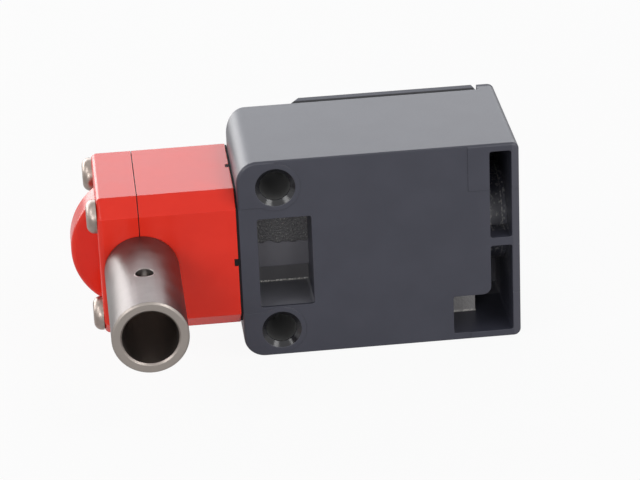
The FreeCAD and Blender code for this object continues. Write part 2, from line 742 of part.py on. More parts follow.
def head_cap(spaces):
    """The head's outer half, with the round bulge that clears the cam."""
    raw = prism("head_cap_outline", "YZ", head_outline("0"), ("-cap_depth", "-seam_gap / 2"))
    sides = round_edges("head_cap_edges", raw, size("head_edge_round"), *head_corners())
    face = round_edges("head_cap_face", sides, size("cap_round"), {"x": number_of("-cap_depth")})
    rounded = round_edges("head_cap_rounded", face, size("seam_round"), {"x": number_of("-seam_gap / 2")})
    low = "head_height - bulge_width / 2"
    high = "head_height + bulge_width / 2"
    disc = rod("bulge_disc", "y", (low, high), BULGE_RADIUS, ("0", "0"))
    soft = round_edges("bulge_rounded", disc, size("bulge_round"), {"y": number_of(low)}, {"y": number_of(high)})
    reach = f"({BULGE_RADIUS} + {PAST})"
    outer = block("bulge_side", (f"-{reach}", "-cap_depth / 2"), (low, high), (f"-{reach}", reach))
    shell = fuse("head_cap_shell", rounded, overlap("bulge", soft, outer))
    return keep(cut("head_outer", shell, *spaces), "head_cap")


def head_gasket():
    """The thin gasket between head and housing, with four tabs that fill the head's notches."""
    raw = prism("gasket_sheet", "YZ", head_outline("head_gasket_inset"), (HEAD_END, "axis_to_body"))
    through = (f"{HEAD_END} - {PAST}", f"axis_to_body + {PAST}")
    holes = [rod("gasket_spring_hole", "x", through, SPRING_POCKET, ("head_height", "0"))]
    for number, centre in enumerate(screw_centres()):
        holes.append(rod(f"gasket_screw_hole{number}", "x", through,
                         "screw_shank_radius + screw_hole_clearance", centre))
    sheet_with_tabs = fuse("gasket_body", raw, *gasket_tabs("tab", "0"))
    return keep(cut("joint_gasket", sheet_with_tabs, *holes), "head_gasket")


def head_screws():
    """Four pan-head screws through both halves of the head into the housing."""
    length = "cap_depth + axis_to_body + screw_bite"
    radii = ("screw_head_radius", "screw_shank_radius")
    screws = [screw(f"head_screw{number}", "x", "-cap_depth", length, radii, "screw_head_height", centre, -1)
              for number, centre in enumerate(screw_centres())]
    return keep(group("head_screw_set", screws), "head_screws")


def hinge_shaft():
    """The shaft: a hollow tube outside, a slimmer solid journal with a keyway inside the head."""
    rim = "tube_chamfer"
    profile = [
        ("tube_bore_radius", f"-tube_length + {rim}"), (f"tube_bore_radius + {rim}", "-tube_length"),
        (f"tube_radius - {rim}", "-tube_length"), ("tube_radius", f"-tube_length + {rim}"),
        ("tube_radius", "0"), ("journal_radius", "0"), ("journal_radius", JOURNAL_END), ("0", JOURNAL_END),
        ("0", "-tube_floor"), ("tube_bore_radius", "-tube_floor"),
    ]
    raw = turned("shaft_profile", profile)
    cross = rod("cross_hole", "z", ("0", f"tube_radius + {PAST}"), "cross_hole_radius",
                ("0", "-tube_length + cross_hole_from_end"))
    return keep(cut("shaft", raw, cross, key_slot("shaft_keyway")), "hinge_shaft")


def key_slot(name):
    """The space of the key, with its clearance."""
    half = "(key_width / 2 + key_clearance)"
    inner = "(journal_radius - key_depth - key_clearance)"
    across = "(cam_thickness / 2 + key_clearance)"
    return block(name, (f"-{inner} - key_height - 2 * key_clearance", f"-{inner}"),
                 (f"head_height - {across}", f"head_height + {across}"), (f"-{half}", half))


def cam_and_key():
    """The heart cam, whose radius grows evenly with the angle from its valley, and the key that drives it."""
    steps = 12
    middle = size("head_height")
    low = middle - size("cam_thickness") / 2
    base = size("cam_base_radius")
    lift = size("cam_lift")
    halves = []
    for side in (1, -1):
        points = []
        for step in range(steps + 1):
            angle = math.pi * step / steps
            radius = base + lift * step / steps
            points.append(FreeCAD.Vector(radius * math.cos(angle), low, side * radius * math.sin(angle)))
        curve = Part.BSplineCurve()
        curve.interpolate(points)
        halves.append(curve.toShape())
    face = Part.Face(Part.Wire(halves))
    disc = doc.addObject("Part::Feature", "cam_disc")
    disc.Shape = face.extrude(FreeCAD.Vector(0, size("cam_thickness"), 0))
    half = "cam_thickness / 2"
    bore = rod("cam_bore", "y", (f"head_height - {half} - {PAST}", f"head_height + {half} + {PAST}"),
               "journal_radius + bearing_clearance", ("0", "0"))
    keep(cut("cam_plate", disc, bore, key_slot("cam_keyway")), "cam")
    inner = "(journal_radius - key_depth)"
    keep(block("key", (f"-{inner} - key_height", f"-{inner}"), (f"head_height - {half}", f"head_height + {half}"),
               ("-key_width / 2", "key_width / 2")), "cam_key")


def shaft_seals():
    """Two round seals in grooves of the head, one each side of the cam."""
    for name, middle in seal_heights():
        seal = doc.addObject("Part::Torus", f"{name}_seal_ring")
        seal.Placement = FreeCAD.Placement(FreeCAD.Vector(), ACROSS)
        bind(seal, "Placement.Base.y", middle)
        bind(seal, "Radius1", "journal_radius + bearing_clearance + seal_section_radius + seal_clearance")
        bind(seal, "Radius2", "seal_section_radius")
        keep(seal, f"{name}_shaft_seal")


def plunger_set():
    """The round-nosed plunger that the cam pushes, its return spring and its wiper."""
    line = ("head_height", "0")
    nose_centre = f"({PLUNGER_TIP} + plunger_radius)"
    nose = doc.addObject("Part::Sphere", "plunger_nose")
    bind(nose, "Radius", "plunger_radius")
    bind(nose, "Placement.Base.x", nose_centre)
    bind(nose, "Placement.Base.y", "head_height")
    stem = rod("plunger_stem", "x", (nose_centre, f"{CARRIER_START} - contact_touch"), "plunger_radius", line)
    collar = rod("plunger_collar", "x", (COLLAR_START, COLLAR_END), "collar_radius", line)
    keep(fuse("plunger_body", nose, stem, collar), "plunger")
    coil = spring("plunger_coil", (f"{COLLAR_END} + spring_end_clearance", "axis_to_body - spring_end_clearance"),
                  "head_height", "plunger_spring_radius", "plunger_spring_wire", "plunger_spring_half_turns")
    keep(coil, "plunger_spring")
    wiper = ring("wiper_ring", "x", ("axis_to_body", "axis_to_body + wiper_length"),
                 f"{GUIDE_RADIUS} + wiper_width", GUIDE_RADIUS, line)
    keep(wiper, "plunger_wiper")


def contact_block_base():
    """The moulded tray of the contact block, with towers for the terminals and rails for the carrier."""
    start = f"{BASE_START} + block_wall"
    end = f"{BASE_END} - block_wall"
    tray = block("block_tray", (BASE_START, BASE_END), ("body_wall + block_seat", "block_top"),
                 (f"-{BASE_HALF}", BASE_HALF))
    cavity = block("block_cavity", (start, end), ("block_floor", f"block_top + {PAST}"),
                   (f"-{CAVITY_HALF}", CAVITY_HALF))
    door = rod("block_door", "x", (f"{BASE_START} - {PAST}", f"{start} + {PAST}"), GUIDE_RADIUS,
               ("head_height", "0"))
    holes = [rod(f"terminal_hole{number}", "y", ("block_top - terminal_screw_depth", f"block_top + {PAST}"),
                 "terminal_shank_radius + screw_thread_clearance", centre)
             for number, centre in enumerate(terminal_centres())]
    hollow = cut("block_hollow", tray, cavity, door, *holes)
    added = []
    rail = f"({CARRIER_HALF} + carrier_clearance)"
    middle = f"({BASE_START} + {BASE_END}) / 2"
    for name, sign in (("lower", "-"), ("upper", "")):
        rail_span = (rail, f"{rail} + rail_width")
        wall_span = (CAVITY_HALF, BASE_HALF)
        if sign:
            rail_span = tuple(f"-({edge})" for edge in reversed(rail_span))
            wall_span = tuple(f"-({edge})" for edge in reversed(wall_span))
        added.append(block(f"{name}_rail", (start, end), ("block_floor", "block_floor + rail_height"), rail_span))
        added.append(block(f"{name}_barrier", (f"{middle} - barrier_width / 2", f"{middle} + barrier_width / 2"),
                           ("block_top", "block_top + barrier_height"), wall_span))
    return keep(fuse("contact_tray", hollow, *added), "contact_block_base")


def leg_span(kind):
    """The span along X of a terminal strip's leg, behind its contact rivet."""
    if kind == "nc":
        face = f"({NC_FACE} - contact_touch - contact_height)"
        return f"{face} - strip_thickness", face
    face = f"({NO_FACE} + cam_lift + contact_touch + contact_height)"
    return face, f"{face} + strip_thickness"


def terminal_centres():
    """The four terminal screws, as pairs of X and Z."""
    centres = []
    for kind in ("nc", "no"):
        low, high = leg_span(kind)
        for sign in ("-", ""):
            centres.append((f"(({low}) + ({high})) / 2", f"{sign}{TERMINAL_SIDE}"))
    return centres


def contact_carrier():
    """The sliding carrier with a window for each bridge and a pocket for its spring."""
    raw = block("carrier_block", (CARRIER_START, CARRIER_END), ("block_floor + carrier_clearance", "carrier_top"),
                (f"-{CARRIER_HALF}", CARRIER_HALF))
    pocket_floor = f"({CARRIER_END} - carrier_pocket_depth)"
    pocket = rod("carrier_pocket", "x", (pocket_floor, f"{CARRIER_END} + {PAST}"),
                 "carrier_spring_radius + carrier_spring_wire + carrier_pocket_clearance", ("head_height", "0"))
    windows = [bridge_block(f"{kind}_window", kind, "bridge_clearance") for kind in ("nc", "no")]
    keep(cut("carrier", raw, pocket, *windows), "contact_carrier")
    for kind in ("nc", "no"):
        keep(bridge_block(f"{kind}_bar", kind, "0"), f"{kind}_bridge")
    back = f"{BASE_END} - block_wall - spring_end_clearance"
    coil = spring("carrier_coil", (f"{pocket_floor} + spring_end_clearance", back), "head_height",
                  "carrier_spring_radius", "carrier_spring_wire", "carrier_spring_half_turns")
    return keep(coil, "carrier_spring")


def bridge_block(name, kind, clearance):
    """A moving contact bar across the carrier, or the window that holds it."""
    start = f"({CARRIER_START} + {kind}_bridge_place)"
    half_height = f"(bridge_height / 2 + {clearance})"
    half_span = f"({CAVITY_HALF} - bridge_end_gap + {clearance})"
    return block(name, (f"{start} - {clearance}", f"{start} + bridge_thickness + {clearance}"),
                 (f"head_height - {half_height}", f"head_height + {half_height}"),
                 (f"-{half_span}", half_span))


def terminal_strip(kind, side, sign):
    """A bent terminal strip: a plate under the screw, a leg into the block and a contact rivet."""
    name = f"{kind}_{side}"
    low, high = leg_span(kind)
    middle = f"(({low}) + ({high})) / 2"
    plate_span = (STRIP_START, STRIP_END)
    leg_side = (STRIP_START, f"{STRIP_START} + leg_width")
    if sign:
        plate_span = tuple(f"-({edge})" for edge in reversed(plate_span))
        leg_side = tuple(f"-({edge})" for edge in reversed(leg_side))
    plate = block(f"{name}_plate", (f"{middle} - strip_width / 2", f"{middle} + strip_width / 2"),
                  ("block_top", STRIP_TOP), plate_span)
    leg = block(f"{name}_leg", (low, high), ("leg_bottom", STRIP_TOP), leg_side)
    span = (high, f"({high}) + contact_height") if kind == "nc" else (f"({low}) - contact_height", low)
    rivet = rod(f"{name}_rivet", "x", span, "contact_radius",
                ("head_height", f"{sign}({STRIP_START} + leg_width / 2)"))
    hole = rod(f"{name}_hole", "y", (f"block_top - {PAST}", f"{STRIP_TOP} + {PAST}"),
               "terminal_shank_radius + screw_hole_clearance", (middle, f"{sign}{TERMINAL_SIDE}"))
    return keep(cut(f"{name}_strip", fuse(f"{name}_bent", plate, leg, rivet), hole), f"{kind}_terminal_{side}")


def terminals():
    """Four strips, each with a clamp plate and a screw."""
    for kind in ("nc", "no"):
        for side, sign in (("lower", "-"), ("upper", "")):
            terminal_strip(kind, side, sign)
    clamp_top = f"({STRIP_TOP} + clamp_thickness)"
    half = "clamp_side / 2"
    radii = ("terminal_head_radius", "terminal_shank_radius")
    clamps = []
    screws = []
    for number, (x, z) in enumerate(terminal_centres()):
        plate = block(f"clamp_plate{number}", (f"{x} - {half}", f"{x} + {half}"), (STRIP_TOP, clamp_top),
                      (f"{z} - {half}", f"{z} + {half}"))
        hole = rod(f"clamp_hole{number}", "y", (f"{STRIP_TOP} - {PAST}", f"{clamp_top} + {PAST}"),
                   "terminal_shank_radius + screw_hole_clearance", (x, z))
        clamps.append(cut(f"clamp{number}", plate, hole))
        length = "clamp_thickness + strip_thickness + terminal_screw_depth - screw_thread_clearance"
        screws.append(screw(f"terminal_screw{number}", "y", clamp_top, length, radii,
                            "terminal_head_height", (x, z), 1))
    keep(group("clamp_set", clamps), "terminal_clamps")
    keep(group("terminal_screw_set", screws), "terminal_screws")


def main():
    """Builds every sub-part, checks the document and writes one file for each sub-part."""
    body_housing()
    cover_gasket()
    front_cover()
    spaces = shaft_spaces()
    head_base(spaces)
    head_cap(spaces)
    head_gasket()
    head_screws()
    hinge_shaft()
    shaft_seals()
    cam_and_key()
    plunger_set()
    contact_block_base()
    contact_carrier()
    terminals()
    doc.recompute()
    for item in doc.Objects:
        if "Invalid" in item.State or "Error" in item.State:
            raise RuntimeError(f"{item.Name} could not be built")
    for item in sub_parts:
        if item.Shape.isNull() or not item.Shape.isValid():
            raise RuntimeError(f"{item.Label} has no valid shape")
    os.makedirs("parts", exist_ok=True)
    for item in sub_parts:
        item.Shape.exportStep(f"parts/{item.Label}.step")
        print(item.Label, len(item.Shape.Solids), round(item.Shape.Volume, 2))


main()
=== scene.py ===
import json
import math

import bpy
import numpy as np
from mathutils import Matrix, Vector


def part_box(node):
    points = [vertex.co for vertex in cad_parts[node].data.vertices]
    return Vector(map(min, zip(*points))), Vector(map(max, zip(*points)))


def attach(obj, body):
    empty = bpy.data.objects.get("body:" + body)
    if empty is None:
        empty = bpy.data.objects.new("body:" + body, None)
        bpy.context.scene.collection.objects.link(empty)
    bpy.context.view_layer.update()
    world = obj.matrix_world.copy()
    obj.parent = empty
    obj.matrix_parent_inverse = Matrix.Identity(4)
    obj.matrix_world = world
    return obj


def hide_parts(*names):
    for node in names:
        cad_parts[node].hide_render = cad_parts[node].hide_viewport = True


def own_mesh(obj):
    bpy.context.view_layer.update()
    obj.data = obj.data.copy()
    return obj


# Safety hinge switch, dressed and lit for the photograph's view. Lengths are metres, as in the
# frame, and tones are display colours from 0 to 255.

MM = 0.001
FULL_TURN = 2 * math.pi


def corners(low, high):
    """The low and high corners of a box, given in millimetres."""
    return Vector(low) * MM, Vector(high) * MM


# The photograph's camera, in the part's own frame.
CAMERA_PLACE = Vector((-9.09, -381.90, 179.68)) * MM
CAMERA_YAW = math.radians(5.121)
CAMERA_PITCH = math.radians(24.801)
CAMERA_ROLL = math.radians(-2.430)
CAMERA_LENS = 169.49
SENSOR_WIDTH = 36.0

# The studio: its surround as a light and as it is seen, its floor, and how much of the glow of
# each the kinds of ray see.
WORLD_LIGHT = 0.28
WORLD_SEEN = 1.0
FLOOR_COLOUR = (0.7, 0.7, 0.7)
FLOOR_HALF_WIDTH = 2.0
SKY_SHARES = {"Is Camera Ray": 1.0, "Is Glossy Ray": 1.0, "Is Transmission Ray": 1.0}
FLOOR_SHARES = {"Is Camera Ray": 0.93, "Is Glossy Ray": 0.38, "Is Transmission Ray": 0.9}

# Lamps, aimed at the part's middle: degrees round from the front and up from the floor, distance,
# width, height, radiance and tint.
LAMP_AIM = Vector((20, 5, 0)) * MM
PLAIN_WHITE = (1, 1, 1)
COOL_WHITE = (0.93, 0.955, 1.0)
LAMPS = {
    "back_panel": (180, 25, 0.83, 1.0, 0.45, 1.9, COOL_WHITE),
    "back_left_box": (-138, 8, 0.9, 0.9, 0.45, 3.8, PLAIN_WHITE),
    "left_box": (-62, 39, 0.9, 0.3, 0.3, 4.5, PLAIN_WHITE),
    "right_box": (57, 50, 0.9, 0.3, 0.3, 4.5, PLAIN_WHITE),
    "front_left_box": (-24, 15, 0.9, 0.35, 0.3, 5.2, PLAIN_WHITE),
    "front_right_box": (28, 15, 0.9, 0.35, 0.3, 5.4, PLAIN_WHITE),
}

# Conduit thread: a coarse metric ridge inside the entry, which starts a little behind its mouth. At
# both ends the ridge fades over the run-in to a small share of its depth.
THREAD_PITCH = 1.5 * MM
THREAD_DEPTH = 0.8 * MM
THREAD_CREST = 0.2 * MM
THREAD_ROOT = 1.2 * MM
THREAD_RUN_IN = 1.0 * MM
THREAD_LEAST = 0.05
THREAD_MOUTH = 0.5 * MM
THREAD_STEPS = 72

# Springs: the slide that shortens each, its wire's radius and its turns. The first and the last
# half turn lie flat.
SPRINGS = {
    "plunger_spring": ("plunger_slide", 0.25 * MM, 3.5),
    "carrier_spring": ("carrier_slide", 0.2 * MM, 4.5),
}
COIL_STEPS = 48
WIRE_SIDES = 12

# How far apart two faces may point before the edge between them counts as sharp, how near points
# are joined, and how much larger faces lead the shading.
SHARP_EDGE = math.radians(30)
WELD_REACH = 0.002 * MM
LARGE_FACE_WEIGHT = 80

# Small mould radii that the surface shows as a soft glint.
MOULD_EDGE = 0.12 * MM
HEAD_EDGE = 0.05 * MM
EDGE_SAMPLES = 6

# Colour sockets of a Mix node: its two inputs and its result.
MIX_FIRST, MIX_SECOND, MIX_RESULT = 6, 7, 2

# The range of a cloudy noise that a pattern uses in full.
NOISE_LOW, NOISE_HIGH = 0.3, 0.7

# How much rougher a surface is in bores and joints.
DULLNESS = 0.6

# Soft edges between tones.
EDGE_FADE = 0.1 * MM
HIGHLIGHT_FADE = 0.08 * MM
JOINT_FADE = 0.4 * MM

# Patches of the housing that differ from its skin, as a box, its fade and its tone: pocket floors
# painted lighter over the shade in the rear pockets, a painted highlight on the end wall's rim and
# painted shade along the joint under the cover's skirt.
HOUSING_PAINTED_LIGHT = {
    # Painted light over the shade on the guide pocket's shelf, trench and sill.
    "guide_shelf": (corners((16.3, 7.0, -4.4), (24.1, 7.4, 6.4)), EDGE_FADE, (99, 98, 105)),
    "guide_trench": (corners((16.3, 8.4, -7.4), (24.1, 8.8, -4.4)), EDGE_FADE, (92, 91, 94)),
    "guide_sill": (corners((16.3, 0.6, -7.6), (24.1, 8.4, -7.0)), EDGE_FADE, (110, 110, 117)),
    # Painted light over the shade on the end pockets' floors.
    "upper_floor": (corners((49.2, 12.0, 6.3), (52.6, 16.3, 14.1)), EDGE_FADE, (100, 100, 107)),
    "lower_floor": (corners((43.8, 12.0, -14.1), (52.6, 16.3, -6.3)), EDGE_FADE, (100, 100, 107)),
    # Painted highlight on the end wall's rim.
    "end_rim": (corners((52.6, -0.5, -15.5), (54.5, 0.8, 15.5)), 2 * EDGE_FADE, (70, 70, 80)),
    # Painted light over the shade on the corner pocket's ledge.
    "corner_ledge": (corners((43.8, 6.9, -14.0), (48.0, 7.3, -8.0)), EDGE_FADE, (150, 148, 149)),
    # Painted shade along the joint under the cover's skirt.
    "cover_joint": (corners((23.2, 21.0, -15.5), (50.3, 21.6, 15.5)), JOINT_FADE, (20, 20, 24)),
}

# A painted highlight, broken up, along two edges of the pocket floors.
EDGE_HIGHLIGHTS = [
    corners((16.3, 8.45, -7.4), (24.1, 8.7, -7.2)),
    corners((43.8, 6.95, -14.0), (48.0, 7.2, -13.75)),
]

# The coarse skin on the upper part of the guide's shelf, with a wandering lower edge.
ROUGH_SKIN_START = 0.2 * MM
ROUGH_SKIN_WANDER = 1.6 * MM

# The conduit boss where the end pockets lay it bare, scuffed, with the scuffs painted lighter over
# the pocket's shade, and a painted highlight along each side.
BOSS_SKIN = corners((49.2, 2.5, -7.2), (52.6, 12.0, 7.2))
BOSS_HIGHLIGHTS = 50.05 * MM, 51.75 * MM

# The cover's skin starts here and is a little coarser than the housing's.
COVER_SKIN_START = 21.6 * MM
COVER_COARSENESS = 0.25

# Countersunk rims of the mounting holes, smoother than the skin round them and painted dark as
# shade, and dull bores behind, painted lighter over their shade.
COUNTERSINK = 0.7 * MM
RIM_POLISH = 0.22
BORE_START = 0.8 * MM

# Half the width of the dark line where the two halves of the head meet, and its fade.
SEAM_LINE = 0.05 * MM
SEAM_FADE = 0.03 * MM

# Shaft: pitch of the turning marks and their share in the roughness, the cut end's place, the
# bore's radius and fade, and the width of the painted highlight round the cross hole's rim.
TURNING_PITCH = 0.12 * MM
TURNING_SHARE = 0.4
TUBE_END = -21.2 * MM
BORE_RADIUS = 3.9 * MM
BORE_FADE = 0.05 * MM
PIN_RIM_HIGHLIGHT = 0.12 * MM

# Looks whose tone and roughness follow one cloudy noise, over a fine relief: what plain_look takes
# for each slot.
PLAIN_LOOKS = {
    # Warm zinc plating on the screws, a little uneven.
    "screw_steel": dict(
        name="plated_screw", cloud=dict(grain=0.9 * MM, detail=4),
        dark=(152, 140, 132), light=(172, 160, 152), roughness=(0.28, 0.42),
        skin=dict(grain=0.08 * MM), height=0.005 * MM, Metallic=1.0, Roughness=0.35),
    # Matt black seal rubber with a fine dusty grain.
    "black_seal": dict(
        name="black_rubber", cloud=dict(grain=0.5 * MM, detail=4),
        dark=(6, 6, 7), light=(12, 12, 13), roughness=(0.6, 0.8),
        skin=dict(grain=0.1 * MM), height=0.01 * MM, Roughness=0.7, Specular_IOR_Level=0.25),
    # Oiled sintered steel of the cam and its key: dark pores in a grey skin.
    "cam_steel": dict(
        name="sintered_steel", cloud=dict(grain=0.2 * MM, detail=3), contrast=(0.35, 0.5),
        dark=(92, 91, 90), light=(150, 149, 147), roughness=(0.55, 0.35),
        skin=dict(grain=0.2 * MM, detail=3), height=0.012 * MM, Metallic=1.0, Roughness=0.4),
    # Drawn spring wire with a faint change of tone along it.
    "spring_steel": dict(
        name="spring_wire", cloud=dict(grain=0.6 * MM, detail=3),
        dark=(150, 150, 152), light=(182, 182, 183), roughness=(0.22, 0.36),
        skin=dict(grain=0.06 * MM), height=0.003 * MM, Metallic=1.0, Roughness=0.3),
    # Waxy white slider plastic.
    "white_slider": dict(
        name="slider_white", cloud=dict(grain=3 * MM, detail=3),
        dark=(222, 219, 208), light=(233, 231, 223), roughness=(0.34, 0.46),
        skin=dict(grain=0.2 * MM), height=0.006 * MM, Roughness=0.4,
        Subsurface_Weight=0.1, Subsurface_Scale=0.5 * MM),
    # Cream contact block plastic with fine flow streaks along the block.
    "block_plastic": dict(
        name="block_moulding", cloud=dict(grain=0.8 * MM, detail=4, stretch=(5, 1, 1)),
        dark=(203, 197, 176), light=(216, 211, 193), roughness=(0.45, 0.58),
        skin=dict(grain=0.15 * MM), height=0.008 * MM, Roughness=0.5),
    # Brass of the contact strips, with rolling lines and a light tarnish.
    "contact_metal": dict(
        name="stamped_brass", cloud=dict(grain=1.5 * MM, detail=5),
        dark=(186, 152, 82), light=(214, 183, 112), roughness=(0.25, 0.4),
        skin=dict(grain=0.1 * MM, stretch=(1, 1, 12)), height=0.003 * MM,
        Metallic=1.0, Roughness=0.3),
}


class Look:
    """A material with one principled surface, whose patterns read Object coordinates in metres."""

    def __init__(self, name, **sockets):
        self.material = bpy.data.materials.new(name)
        self.material.use_nodes = True
        self.tree = self.material.node_tree
        self.surface = self.tree.nodes["Principled BSDF"]
        for word, value in sockets.items():
            self.surface.inputs[word.replace("_", " ")].default_value = value
        self.place = self.add("ShaderNodeTexCoord").outputs["Object"]

    def add(self, kind, **settings):
        """A new node with its settings."""
        node = self.tree.nodes.new(kind)
        for word, value in settings.items():
            setattr(node, word, value)
        return node

    def link(self, source, target):
        """Joins an output to an input."""
        self.tree.links.new(source, target)

    def noise(self, grain, detail=2, stretch=(1, 1, 1)):
        """Cloudy noise with features of about the grain's size, stretched along the axes."""
        mapping = self.add("ShaderNodeMapping")
        mapping.inputs["Scale"].default_value = [1 / length for length in stretch]
        self.link(self.place, mapping.inputs["Vector"])
        texture = self.add("ShaderNodeTexNoise")
        texture.inputs["Scale"].default_value = 1 / grain
        texture.inputs["Detail"].default_value = detail
        self.link(mapping.outputs["Vector"], texture.inputs["Vector"])
        return texture.outputs[0]

    def spread(self, source, low, high, start=NOISE_LOW, end=NOISE_HIGH):
        """Carries a pattern's range from start..end to low..high, smoothly and held at the ends."""
        remap = self.add("ShaderNodeMapRange", interpolation_type="SMOOTHSTEP")
        ends = {"From Min": start, "From Max": end, "To Min": low, "To Max": high}
        for word, value in ends.items():
            remap.inputs[word].default_value = value
        self.link(source, remap.inputs["Value"])
        return remap.outputs["Result"]

    def combine(self, operation, first, second):
        """Two patterns or numbers joined by one sum, product or the like."""
        maths = self.add("ShaderNodeMath", operation=operation)
        for number, source in enumerate((first, second)):
            if isinstance(source, (int, float)):
                maths.inputs[number].default_value = source
            else:
                self.link(source, maths.inputs[number])
        return maths.outputs["Value"]

    def product(self, first, *others):
        """Patterns or numbers multiplied together."""
        for other in others:
            first = self.combine("MULTIPLY", first, other)
        return first

    def axes(self):
        """The three Object coordinates as separate patterns."""
        split = self.add("ShaderNodeSeparateXYZ")
        self.link(self.place, split.inputs["Vector"])
        return split.outputs

    def within(self, pattern, low, high, soft):
        """1 where the pattern lies between two values, fading to 0 over a soft length outside."""
        above = self.spread(pattern, 0, 1, low - soft, low)
        below = self.spread(pattern, 1, 0, high, high + soft)
        return self.product(above, below)

    def inside(self, low, high, soft):
        """1 inside a box between two corners, fading to 0 over a soft length outside it."""
        return self.product(*[self.within(*side, soft) for side in zip(self.axes(), low, high)])

    def from_line(self, **places):
        """The distance from a line along one axis, given by its places on the two others."""
        across = self.add("ShaderNodeCombineXYZ")
        axes = self.axes()
        for word, place in places.items():
            self.link(self.combine("SUBTRACT", axes[word], place), across.inputs[word])
        length = self.add("ShaderNodeVectorMath", operation="LENGTH")
        self.link(across.outputs["Vector"], length.inputs[0])
        return length.outputs["Value"]

    def tones(self, pattern, dark, light):
        """A colour that runs between two tones with the pattern."""
        mix = self.add("ShaderNodeMix", data_type="RGBA")
        mix.inputs[MIX_FIRST].default_value = shade(dark)
        mix.inputs[MIX_SECOND].default_value = shade(light)
        self.link(pattern, mix.inputs["Factor"])
        return mix.outputs[MIX_RESULT]

    def blend(self, pattern, colour, tone):
        """A tone over a colour where the pattern is high."""
        mix = self.add("ShaderNodeMix", data_type="RGBA")
        self.link(pattern, mix.inputs["Factor"])
        self.link(colour, mix.inputs[MIX_FIRST])
        mix.inputs[MIX_SECOND].default_value = shade(tone)
        return mix.outputs[MIX_RESULT]

    def paint(self, colour):
        """Gives the surface its colour pattern."""
        self.link(colour, self.surface.inputs["Base Color"])

    def roughen(self, roughness):
        """Gives the surface its roughness pattern."""
        self.link(roughness, self.surface.inputs["Roughness"])

    def relief(self, *layers, edge=None):
        """Raises the surface by each pattern and its height in turn, over softened edges."""
        normal = None
        if edge:
            soft = self.add("ShaderNodeBevel", samples=EDGE_SAMPLES)
            soft.inputs["Radius"].default_value = edge
            normal = soft.outputs["Normal"]
        for pattern, height in layers:
            bump = self.add("ShaderNodeBump")
            bump.inputs["Distance"].default_value = height
            self.link(pattern, bump.inputs["Height"])
            if normal:
                self.link(normal, bump.inputs["Normal"])
            normal = bump.outputs["Normal"]
        self.link(normal, self.surface.inputs["Normal"])


def shade(tone):
    """A tone as linear light, opaque, by the display's own curve."""
    values = np.array(tone) / 255
    light = np.where(values < 0.04045, values / 12.92, ((values + 0.055) / 1.055) ** 2.4)
    return (*light.tolist(), 1)


def moulded_grey(holes):
    """Spark-eroded grey housing plastic: pocket floors painted light, dull bores, polished
    countersinks, painted highlights and shade.
    """
    look = Look("moulded_grey", Roughness=0.38, Specular_IOR_Level=0.5)
    mottle = look.noise(6 * MM, detail=3)
    skin = look.noise(0.16 * MM, detail=3)
    fleck = look.noise(0.3 * MM, detail=4)
    height = look.axes()["Y"]
    colour = look.tones(look.spread(mottle, 0, 1), (55, 56, 67), (59, 60, 71))
    patches = {}
    # Each patch paints light or shade over the skin.
    for name, (box, fade, tone) in HOUSING_PAINTED_LIGHT.items():
        patches[name] = look.inside(*box, fade)
        colour = look.blend(patches[name], colour, tone)

    wander = look.product(look.noise(1.5 * MM), ROUGH_SKIN_WANDER)
    ragged = look.combine("ADD", look.axes()["Z"], wander)
    rough = look.product(patches["guide_shelf"],
                         look.spread(ragged, 0, 1, ROUGH_SKIN_START, ROUGH_SKIN_START + EDGE_FADE))
    speckle = look.spread(fleck, 0, 1, start=0.58, end=0.72)
    # Painted light: the coarse skin and its light flecks are lighter than the skin outside, over
    # the guide pocket's shade.
    colour = look.blend(rough, colour, (83, 82, 84))
    colour = look.blend(look.product(speckle, rough), colour, (150, 149, 144))

    boss = look.inside(*BOSS_SKIN, EDGE_FADE)
    streak = look.noise(0.4 * MM, detail=4, stretch=(1, 1, 2))
    scuff = look.spread(streak, 0, 1, start=0.5, end=0.75)
    # Painted light: the scuffs are lightened over the shade in the end pockets.
    colour = look.blend(look.product(scuff, boss), colour, (150, 149, 148))
    broken = look.spread(fleck, 0.1, 0.8, start=0.4, end=0.6)
    half = HIGHLIGHT_FADE / 2
    # Painted highlight along each side of the boss.
    for place in BOSS_HIGHLIGHTS:
        line = look.within(look.axes()["X"], place - half, place + half, HIGHLIGHT_FADE)
        colour = look.blend(look.product(line, boss, broken), colour, (170, 168, 165))
    broken = look.spread(fleck, 0.2, 1, start=0.4, end=0.6)
    # Painted highlight along two edges of the pocket floors.
    for box in EDGE_HIGHLIGHTS:
        painted_highlight = look.product(look.inside(*box, HIGHLIGHT_FADE), broken)
        colour = look.blend(painted_highlight, colour, (215, 213, 208))

    joint = look.product(patches["cover_joint"], DULLNESS)
    cover = look.spread(height, 0, COVER_COARSENESS, COVER_SKIN_START, COVER_SKIN_START + EDGE_FADE)
    roughness = look.combine("ADD", look.spread(skin, 0.36, 0.40), joint)
    roughness = look.combine("ADD", roughness, cover)
    hole_radius, rim_radius, places = holes
    for x, z in places:
        radius = look.from_line(X=x, Z=z)
        bore = look.product(look.spread(radius, 1, 0, hole_radius, hole_radius + EDGE_FADE),
                            look.spread(height, 0, 1, BORE_START, BORE_START + EDGE_FADE))
        rim = look.within(radius, hole_radius, rim_radius - EDGE_FADE, EDGE_FADE)
        # Painted shade on the countersunk rims and painted light over the bores' shade.
        colour = look.blend(rim, colour, (32, 32, 36))
        colour = look.blend(bore, colour, (84, 84, 84))
        roughness = look.combine("SUBTRACT", roughness, look.product(rim, RIM_POLISH))
        roughness = look.combine("ADD", roughness, look.product(bore, DULLNESS))
    look.paint(colour)
    look.roughen(roughness)
    look.relief((skin, 0.006 * MM), (look.product(fleck, rough), 0.25 * MM),
                (look.product(fleck, patches["corner_ledge"]), 0.12 * MM), edge=MOULD_EDGE)
    return look.material


